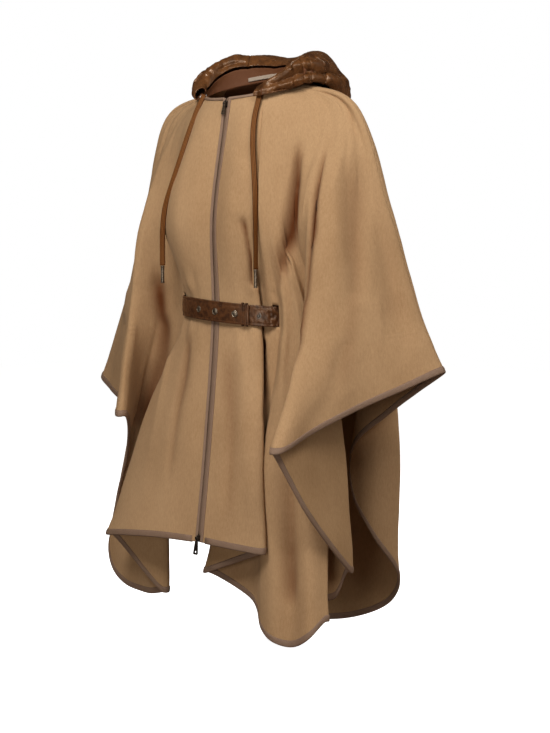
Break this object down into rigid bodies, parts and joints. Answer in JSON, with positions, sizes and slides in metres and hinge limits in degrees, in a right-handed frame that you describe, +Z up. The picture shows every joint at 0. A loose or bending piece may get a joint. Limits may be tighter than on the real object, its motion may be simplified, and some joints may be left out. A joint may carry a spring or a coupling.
{
  "type": "hooded wool cape",
  "caption": "Worn-pose hooded wool cape with bound edges, a two-way front zip, drawcords and a belt passed through slits in the fronts.",
  "frame": {"origin": "middle of the neck base, where the cape hangs from the shoulders", "axes": "+Z up the wearer, -Y out of the front, +X to the wearer's left"},
  "size_m": [0.8294, 0.399, 1.0338],
  "materials": {
    "back": "brushed wool",
    "front_left": "brushed wool",
    "front_right": "brushed wool",
    "binding_front_left": "woven tape",
    "binding_front_right": "woven tape",
    "binding_hem_back": "woven tape",
    "binding_hem_left": "woven tape",
    "binding_hem_right": "woven tape",
    "zip_tape_left": "woven tape",
    "zip_tape_right": "woven tape",
    "neck_tape": "woven tape",
    "neck_facing": "coated nylon",
    "hood_left": "coated nylon",
    "hood_centre": "coated nylon",
    "hood_right": "coated nylon",
    "belt": "coated nylon",
    "drawcord_left": "flat cord",
    "drawcord_right": "flat cord",
    "tip_left": "dark plated",
    "tip_right": "dark plated",
    "zip_chain": "dark plated",
    "slider_top": "dark plated",
    "slider_bottom": "dark plated",
    "pull_top": "dark plated",
    "pull_bottom": "dark plated",
    "snap_1": "dark plated",
    "snap_2": "dark plated",
    "snap_3": "dark plated",
    "snap_socket": "dark plated"
  },
  "bodies": {
    "cape": {"back": "back", "front_left": "front_left", "front_right": "front_right", "binding_front_left": "binding_front_left", "binding_front_right": "binding_front_right", "binding_hem_back": "binding_hem_back", "binding_hem_left": "binding_hem_left", "binding_hem_right": "binding_hem_right", "zip_tape_left": "zip_tape_left", "zip_tape_right": "zip_tape_right", "neck_tape": "neck_tape", "neck_facing": "neck_facing", "hood_left": "hood_left", "hood_centre": "hood_centre", "hood_right": "hood_right", "belt": "belt", "drawcord_left": "drawcord_left", "drawcord_right": "drawcord_right", "tip_left": "tip_left", "tip_right": "tip_right", "zip_chain": "zip_chain", "slider_top": "slider_top", "slider_bottom": "slider_bottom", "snap_1": "snap_1", "snap_2": "snap_2", "snap_3": "snap_3", "snap_socket": "snap_socket"},
    "top_pull": {"pull_top": "pull_top"},
    "bottom_pull": {"pull_bottom": "pull_bottom"}
  },
  "joints": [
    {"name": "top_pull_hinge", "type": "hinge", "parent": "cape", "child": "top_pull", "pos_m": [0, -0.07167, -0.05102], "axis": [-1, 0, 0], "range_deg": [0, 150]},
    {"name": "bottom_pull_hinge", "type": "hinge", "parent": "cape", "child": "bottom_pull", "pos_m": [0, -0.1414, -0.79934], "axis": [-1, 0, 0], "range_deg": [0, 150]}
  ]
}
